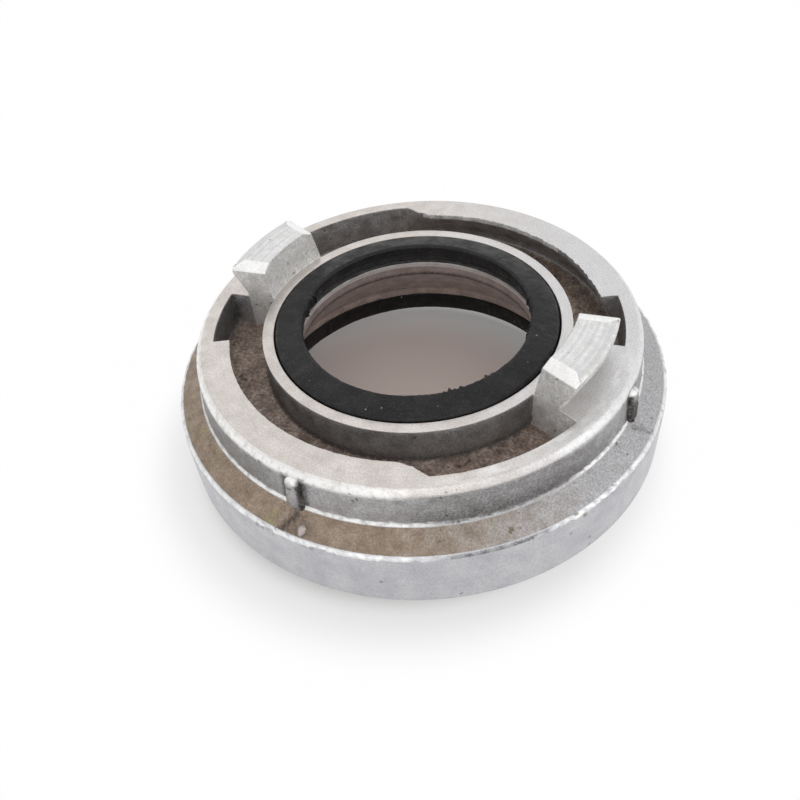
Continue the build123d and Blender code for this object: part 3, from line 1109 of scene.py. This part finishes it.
            # A broken line of dirt along the skirt's edge, and random dirt.
            broken = ramp(noise.noise(Vector((bearing * 0.35, 2.0, 7.0))), -0.5, 0.1)
            darkening = max(darkening, 0.72 * broken * over(bearing, -50.0, -36.0, 6.0))
            darkening = max(darkening, 0.35 * ramp(noise.noise(Vector((bearing * 0.5, 8.0, 1.0))), 0.2, 0.5))
        if radius < 36.9 and 33.0 < z < 35.4:
            # Painted shadow on the throat's wall under its step.
            darkening = max(darkening, 0.85 * fade(z, 33.9, 35.4))
        return darkening

    def channel_shade_and_dirt(self, place: Vector, bearing: float, radius: float) -> float:
        """How dark the small face's channel is painted at a point: painted shade on the collar's wall, at
        the channel's bottom and outer corner and on the pocket walls, over random dirt.

        Args:
            place: the point.
            bearing: its angle about the bore.
            radius: its distance from the axis.

        Returns:
            A share from 0 to 1; 0 outside the channel.
        """
        depth = self.small.face - place.z
        if not (44.2 < radius < 58.9 and 0.2 < depth < 11.6):
            return 0.0
        collar = fade(radius, 44.6, 46.0)
        # Painted shade on the collar's wall, more where it turns away from the front.
        facing = 0.5 + 0.5 * math.cos(math.radians(bearing + 62.0))
        uneven = 0.25 * noise.noise(place * 0.22)
        darkening = collar * (0.80 - 0.74 * facing ** 5 + uneven) * ramp(depth, 0.2, 1.6)
        # Painted shade at the channel's bottom and in its outer corner.
        darkening = max(darkening, collar * 0.66 * ramp(depth, 7.0, 10.8))
        darkening = max(darkening, 0.40 * ramp(radius, 55.5, 58.4) * ramp(depth, 8.0, 10.4))
        # Random dirt.
        darkening = max(darkening, 0.26 * ramp(noise.noise(place * 0.33) + 0.2, 0.1, 0.7))
        # Lighter on the lugs' end walls.
        if near_lug(bearing, -LUG_HALF_DEG) < 0.4:
            darkening *= 0.3
        # Painted shade on the walls of the pockets behind the lugs.
        if radius > 58.0:
            darkening = max(darkening, 0.62 * fade(near_lug(bearing, 22.0), 10.0, 17.0) * ramp(depth, 0.2, 0.9))
        return darkening

    def wear_and_highlight(self, place: Vector, bearing: float, radius: float) -> float:
        """How far a point is painted bright: a painted highlight on the ring's chamfer, rubbed scuffs on the
        ring's top, and bright lines on the fillet and skirt edge.

        Args:
            place: the point.
            bearing: its angle about the bore.
            radius: its distance from the axis.

        Returns:
            A share from 0 to 1.
        """
        if radius > 62.0 and 42.7 < place.z < 44.45:
            # Painted highlight along the ring's chamfer, dimmer at the front.
            kept = 1.0 - over(bearing, -57.0, -27.0, 7.0)
            return (0.80 if radius > 62.9 else 0.50) * kept * (1.0 - 0.4 * ramp(bearing, -60.0, -30.0))
        if radius > 58.4 and place.z > 44.0:
            # Rubbed scuffs along the ring's top.
            streak = ramp(noise.noise(Vector((bearing * 0.16, radius * 1.5, 2.0))), 0.02, 0.35)
            return 0.45 * streak * ramp(bearing, -62.0, -40.0) * fade(bearing, 4.0, 20.0)
        if 64.38 < radius < 64.97 and 32.8 < place.z < 34.2:
            # A bright line along the fillet at the ring's foot, dull at the front.
            dull = 0.90 * ramp(bearing, -62.0, -50.0) * fade(bearing, -26.0, -16.0)
            return (1.0 - dull) * (0.9 - 0.35 * fade(bearing, -125.0, -95.0))
        if radius > 71.05 and 28.05 < place.z < 29.35:
            # A broken bright line along the skirt's edge, dull at the front.
            dull = ramp(bearing, -64.0, -54.0) * fade(bearing, -33.0, -28.0)
            return (1.0 - dull) * (0.75 + 0.5 * noise.noise(Vector((bearing * 0.4, 5.0, 3.0))))
        return 0.0

    def mark_shade_dirt_and_highlights(self, bm: BMesh) -> None:
        """Marks the painted shade and dirt, and the rubbed metal and painted highlights, for the finishes to
        read.

        Args:
            bm: the roughened body.
        """
        shade_and_dirt, worn = mark_layers(bm)
        for vert in bm.verts:
            at = (vert.co, bearing_of(vert.co), radius_of(vert.co))
            vert[shade_and_dirt], vert[worn] = self.shade_and_dirt(*at), self.wear_and_highlight(*at)

    def publish(self, bm: BMesh, name: str) -> bpy.types.Object:
        """Makes a finished mesh a piece of the casting."""
        return publish(bm, name, self.materials, ["reducer_body"])

    def build(self) -> bpy.types.Object:
        """Builds and dresses the body.

        Returns:
            The piece.
        """
        bm = bmesh.new()
        for path in (self.barrel_path(), self.bore_path()):
            join(bm, swept(path, -LUG_HALF_DEG, 45.0))
        for turn in (45.0, 90.0):
            repeat(bm, turn)
        join(bm, self.small.half())
        join(bm, self.large.half())
        repeat(bm, 180.0)
        bmesh.ops.remove_doubles(bm, verts=bm.verts, dist=0.01)
        bmesh.ops.dissolve_degenerate(bm, edges=bm.edges, dist=0.005)
        close_holes(bm)
        bmesh.ops.recalc_face_normals(bm, faces=bm.faces)
        soften(bm, self.edge_round, 2)
        bmesh.ops.triangulate(bm, faces=[face for face in bm.faces if len(face.verts) > 4])
        bm.normal_update()
        for face in bm.faces:
            face.material_index = self.finish_of(face).value
        self.roughen(bm)
        self.mark_shade_dirt_and_highlights(bm)
        return self.publish(bm, "casting")

    def build_lugs(self, end: CouplingFace) -> None:
        """Builds the two lugs of one end.

        Args:
            end: the coupling face that they stand on.
        """
        for side, word in ((0.0, "right"), (180.0, "left")):
            bm = end.lug(side)
            soften(bm, 0.4, 3, 24.0)
            bm.normal_update()
            for face in bm.faces:
                centre = face.calc_center_median()
                finish = Finish.HOOK
                if (centre.z - end.face) * end.way > 8.0 and face.normal.z * end.way > 0.2:
                    along = turned_by(Vector((0.0, 1.0, 0.0)), bearing_of(centre))
                    # Painted highlight on the lug's chamfered ends.
                    finish = Finish.LEDGE if abs(face.normal.dot(along)) > 0.2 else Finish.BRIGHT
                face.material_index = finish.value
            self.publish(bm, f"{end.name}_{word}_lug")

    def rib_angles(self) -> list[float]:
        """Angles of the four wrench ribs."""
        return [self.rib_first + 90.0 * number for number in range(len(self.shaded_below))]

    def rib(self, number: int, shaded_up_to: float) -> BMesh:
        """One wrench rib at angle zero: a rounded, tapering post with painted shade on its flanks and low
        part, and a painted highlight on its top.

        Args:
            number: its place in the row, which sets how its skin wanders.
            shaded_up_to: height below which it is painted dark, as painted shade.

        Returns:
            The rib, in a mesh of its own.
        """
        bm = bmesh.new()
        bmesh.ops.create_cube(bm, size=1.0)
        bmesh.ops.scale(bm, vec=self.rib_size, verts=bm.verts)
        for vert in bm.verts:
            if vert.co.z > 0.0:
                vert.co.x *= 0.80
                vert.co.y *= 0.72
            if vert.co.x > 0.0:
                vert.co.y *= 0.82
        bmesh.ops.translate(bm, vec=(self.rib_middle[0], 0.0, self.rib_middle[1]), verts=bm.verts)
        soften(bm, 1.55, 5, 50.0)
        long = [edge for edge in bm.edges if edge.calc_length() > 1.2]
        bmesh.ops.subdivide_edges(bm, edges=long, cuts=7, use_grid_fill=True)
        bm.normal_update()
        for vert in bm.verts:
            place = vert.co * 0.75 + Vector((number * 9.0, 0.0, 0.0))
            vert.co += vert.normal * (0.24 * noise.noise(place) + 0.12 * noise.noise(place * 2.6))
        bm.normal_update()
        shade_and_dirt, worn = mark_layers(bm)
        for vert in bm.verts:
            # Painted highlight on the top; painted shade on both flanks and below the shade line.
            top = ramp(vert.normal.z, 0.15, 0.6) * fade(vert.co.y, 0.8, 2.2)
            flank = max(ramp(vert.normal.y, 0.2, 0.62), ramp(-vert.normal.y, 0.5, 0.9))
            darkening = max(flank, fade(vert.co.z, shaded_up_to - 1.5, shaded_up_to + 1.5))
            vert[shade_and_dirt], vert[worn] = 0.90 * darkening * (1.0 - top), 0.9 * top
        for face in bm.faces:
            face.material_index = Finish.CAST.value
        return bm

    def build_ribs(self) -> None:
        """Builds the four wrench ribs, sunk in the ring's side."""
        for number, (angle, shaded_up_to) in enumerate(zip(self.rib_angles(), self.shaded_below)):
            bm = self.rib(number, shaded_up_to)
            rotate(bm, bm.verts, angle, "Z")
            self.publish(bm, f"wrench_rib_{number + 1}")

    def build_flaws(self) -> None:
        """Builds the blob and the fins of metal that the mould left on the shoulder."""
        bm = bmesh.new()
        drop, run = self.ring_foot[1] - self.shoulder_foot[1], self.shoulder_foot[0] - self.ring_foot[0]
        slope = math.degrees(math.atan2(drop, run))
        for radius, bearing, long, wide, high in self.lumps:
            lump = bmesh.ops.create_icosphere(bm, subdivisions=4, radius=1.0)["verts"]
            bmesh.ops.scale(bm, vec=(long, wide, high), verts=lump)
            for vert in lump:
                wander = noise.noise(vert.co * 1.4 + Vector((radius, bearing, 0.0)))
                vert.co += vert.co.normalized() * 0.22 * wander
            finish = Finish.BORE if wide > 0.9 else Finish.SHOULDER
            for face in {face for vert in lump for face in vert.link_faces}:
                face.material_index = finish.value
            rotate(bm, lump, slope, "Y")
            height = self.ring_foot[1] - (radius - self.ring_foot[0]) * drop / run
            bmesh.ops.translate(bm, vec=(radius, 0.0, height), verts=lump)
            rotate(bm, lump, bearing, "Z")
        self.publish(bm, "mould_flaws")


@dataclass
class Seal:
    """A rubber ring in its seat, with torn flash along its inner edge.

    A stretch of flash is its first and last angle, and how far it reaches.
    """

    name: str
    node: str
    slot: str
    section: tuple[Point, ...]
    round_mm: float
    wobble: float
    flash: tuple[Triple, ...]
    steps: int = 480

    def build(self, material: Material) -> bpy.types.Object:
        """Builds and dresses the ring.

        Args:
            material: its rubber.

        Returns:
            The piece.
        """
        bm = bmesh.new()
        spin(bm, wire(bm, self.section, 0.0, closed=True), 360.0, self.steps, merge=True)
        bmesh.ops.recalc_face_normals(bm, faces=bm.faces)
        soften(bm, self.round_mm, 3, 20.0)
        bm.normal_update()
        inner = min(radius_of(vert.co) for vert in bm.verts)
        for vert in bm.verts:
            place, bearing, radius = vert.co.copy(), bearing_of(vert.co), radius_of(vert.co)
            low = noise.noise(place * 0.12 + Vector((5.0, 2.0, 9.0)))
            fine = noise.noise(place * 0.7)
            vert.co += vert.normal * self.wobble * (0.6 * low + 0.4 * fine)
            edge = fade(radius - inner, 0.3, 1.6)
            jag = abs(noise.noise(Vector((bearing * 0.36, 1.0, 2.0))))
            jag = (jag + 0.35 * abs(noise.noise(Vector((bearing * 0.95, 5.0, 2.0))))) ** 2
            for first, last, reach in self.flash:
                vert.co.xy *= 1.0 - over(bearing, first, last, 3.0) * edge * reach * jag / radius
        return publish(bm, self.name, [material], [self.node])


SMALL_SEAL = Seal(
    "small_seal", "small_end_gasket", "small_seal_rubber", section=(
        (36.8, 38.5), (41.2, 38.5), (41.2, 42.9), (40.75, 43.5), (40.75, 44.5), (40.15, 45.1), (33.6, 46.5),
        (32.8, 45.9), (32.8, 43.2), (36.8, 42.3)),
    round_mm=0.25, wobble=0.16,
    flash=((-180.0, 177.0, 0.3), (-46.0, -20.0, 5.5), (-172.0, -154.0, 2.2), (12.0, 40.0, 1.2)))
LARGE_SEAL = Seal(
    "large_seal", "large_end_gasket", "large_seal_rubber", section=(
        (46.1, 17.5), (46.5, 17.0), (51.5, 17.0), (51.5, 12.1), (51.05, 11.5), (51.05, 10.5), (50.45, 9.9),
        (48.2, 9.9), (47.2, 10.3), (46.6, 11.4), (45.7, 16.9)),
    round_mm=0.18, wobble=0.14, flash=((-180.0, 177.0, 1.1),))


# Studio


@dataclass
class Studio:
    """Camera, lamps, world and floor."""

    bearing_deg: float = 34.25
    elevation_deg: float = 39.591
    distance: float = 0.234257
    aim_height: float = 0.0445
    pan_deg: float = -2.23411
    tilt_deg: float = 45.24827
    roll_deg: float = -5.94091
    lens_mm: float = 36.437
    sensor_mm: float = 36.0
    lamp_aim_height: float = 0.03
    floor_size: float = 6.0
    world_light: float = 0.76
    floor_glow: tuple[Pair, ...] = ((58.0, 0.05), (71.0, 0.57), (88.0, 0.985))
    shadow_middle: Triple = (-5.0, -3.4, 0.0)

    def camera(self) -> None:
        """Sets the camera where the photograph was taken from."""
        up_angle = math.radians(self.elevation_deg)
        place = Vector((0.0, -self.distance * math.cos(up_angle), self.distance * math.sin(up_angle)))
        pan, tilt, roll = (math.radians(v) for v in (self.pan_deg, self.tilt_deg, self.roll_deg))
        ahead = Vector((math.sin(pan) * math.cos(tilt), math.cos(pan) * math.cos(tilt), -math.sin(tilt)))
        right = ahead.cross(Vector((0.0, 0.0, 1.0))).normalized()
        above = right.cross(ahead)
        across = right * math.cos(roll) + above * math.sin(roll)
        upward = above * math.cos(roll) - right * math.sin(roll)
        turn = Matrix((across, upward, -ahead)).transposed().to_4x4()
        lens = bpy.data.cameras.new("camera")
        lens.lens = self.lens_mm
        lens.sensor_width = self.sensor_mm
        lens.clip_start = 0.01
        camera = placed("camera", lens)
        orbit = Matrix.Rotation(math.radians(self.bearing_deg), 4, "Z")
        aim = Matrix.Translation((0.0, 0.0, self.aim_height))
        camera.matrix_world = aim @ orbit @ Matrix.Translation(place) @ turn
        bpy.context.scene.camera = camera

    def lamp(self, name: str, place: Triple, size: float, power: float,
             colour: Colour = (1.0, 1.0, 1.0)) -> None:
        """Adds a square soft lamp that looks at the object.

        Args:
            name: the lamp's name.
            place: where it stands, in metres.
            size: its side.
            power: its power in watts.
            colour: its light.
        """
        light = bpy.data.lights.new(name, "AREA")
        light.shape = "SQUARE"
        light.size = size
        light.energy = power
        light.color = colour
        lamp = placed(name, light)
        lamp.location = place
        ahead = Vector((0.0, 0.0, self.lamp_aim_height)) - Vector(place)
        lamp.rotation_euler = ahead.to_track_quat("-Z", "Y").to_euler()

    def floor(self) -> None:
        """Lays a white floor that glows white to camera and mirror rays away from the object, so its shadow
        shows only near it; under the bore it is painted darker and warmer, as shade and bounce light.
        """
        bm = bmesh.new()
        bmesh.ops.create_grid(bm, x_segments=1, y_segments=1, size=self.floor_size)
        mesh = meshed(bm, "floor")
        n = Nodes("floor_white")
        # Painted shadow shape: the glow is measured from a point set off towards -X-Y, so more shadow is
        # kept on that side.
        distance = n.add("ShaderNodeVectorMath", {"operation": "DISTANCE"},
                         {0: n.place(), 1: self.shadow_middle}).outputs[1]
        (inside, none), (foot, low), (clear, high) = self.floor_glow
        rising = n.reckon("ADD", n.between(distance, inside, foot, none, low),
                          n.between(distance, foot, clear, 0.0, high - low))
        # Painted shade and warm bounce light: the floor under the bore is darker and warmer.
        painted_bounce_tone = n.blend(n.between(distance, 40.0, 60.0), (0.86, 0.71, 0.65), (0.90, 0.90, 0.90))
        lit = n.add("ShaderNodeBsdfDiffuse", None, {"Color": painted_bounce_tone})
        glow = n.add("ShaderNodeEmission", None, {"Color": (1.0, 1.0, 1.0, 1.0), "Strength": 1.0})
        path = n.add("ShaderNodeLightPath")
        mirrored = n.reckon("MAXIMUM", path.outputs["Is Glossy Ray"], path.outputs["Is Transmission Ray"])
        seen = n.reckon("MAXIMUM", path.outputs["Is Camera Ray"], mirrored)
        share = n.reckon("MULTIPLY", seen, rising)
        shader = n.add("ShaderNodeMixShader", None, {0: share, 1: lit.outputs[0], 2: glow.outputs[0]})
        mesh.materials.append(n.finish(shader))
        floor = placed("floor", mesh)

    def world(self) -> None:
        """Surrounds the scene with even pale light."""
        world = bpy.data.worlds.new("studio")
        world.use_nodes = True
        tree = world.node_tree
        background = tree.nodes["Background"]
        background.inputs["Color"].default_value = (1.0, 1.0, 1.0, 1.0)
        path = tree.nodes.new("ShaderNodeLightPath")
        sides = [path.outputs[name] for name in ("Is Camera Ray", "Is Glossy Ray", "Is Transmission Ray")]
        for share in sides[1:]:
            wider = tree.nodes.new("ShaderNodeMath")
            wider.operation = "MAXIMUM"
            tree.links.new(sides[0], wider.inputs[0])
            tree.links.new(share, wider.inputs[1])
            sides[0] = wider.outputs[0]
        level = tree.nodes.new("ShaderNodeMapRange")
        tree.links.new(sides[0], level.inputs["Value"])
        level.inputs["To Min"].default_value = self.world_light
        level.inputs["To Max"].default_value = 1.0
        tree.links.new(level.outputs[0], background.inputs["Strength"])
        bpy.context.scene.world = world

    def build(self) -> None:
        """Sets up everything around the object."""
        self.camera()
        self.floor()
        self.world()
        self.lamp("window_behind", (-0.45, 0.75, 0.95), 1.5, 0.7, (1.0, 0.995, 0.985))
        self.lamp("sky_above_camera", (0.42, -0.62, 0.85), 0.8, 1.1)
        self.lamp("fill_right", (0.95, 0.15, 0.60), 0.7, 1.1, (0.96, 0.98, 1.0))
        bpy.context.scene.view_settings.view_transform = "Standard"


def main() -> None:
    """Builds every piece, then the studio."""
    logging.basicConfig(level=logging.INFO)
    metals = [METALS[finish].material() for finish in Finish]
    casting = Casting(metals)
    casting.build()
    for end in (casting.small, casting.large):
        casting.build_lugs(end)
    casting.build_ribs()
    casting.build_flaws()
    SMALL_SEAL.build(SMALL_RUBBER.material())
    LARGE_SEAL.build(LARGE_RUBBER.material())
    Studio().build()


if __name__ == "__main__":
    main()
